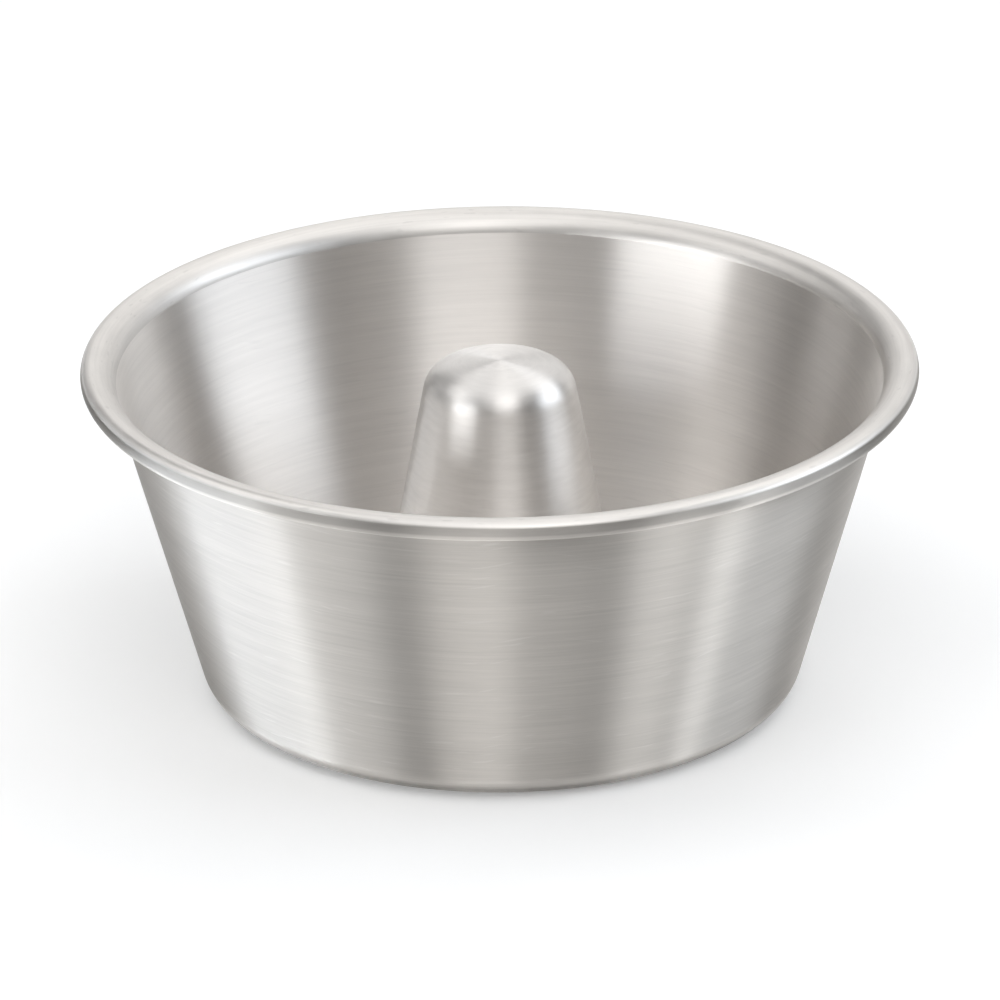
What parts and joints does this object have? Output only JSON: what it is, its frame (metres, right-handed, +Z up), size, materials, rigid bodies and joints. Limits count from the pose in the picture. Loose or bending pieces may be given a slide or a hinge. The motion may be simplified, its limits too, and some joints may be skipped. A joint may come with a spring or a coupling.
{
  "type": "mini flan mould",
  "caption": "Small tapered aluminium mould with a rolled, wired rim and a closed centre cone locked into its base, for baking and turning out a single flan or pudding.",
  "frame": {"origin": "on the axis of the mould, in the plane that its base stands on", "axes": "+Z up along the axis, from the base to the mouth; the mould is round, so +X and +Y are any two square directions across it, and -Y is the side seen in the picture"},
  "size_m": [0.1, 0.1, 0.0418],
  "materials": {
    "brushed_aluminium": "satin, finely brushed round the axis",
    "polished_aluminium": "soft polish with faint turning marks",
    "wire_steel": "plain drawn galvanised wire"
  },
  "bodies": {
    "root": {"mould_body": "brushed_aluminium", "centre_cone": "polished_aluminium", "rim_wire": "wire_steel"}
  },
  "joints": []
}
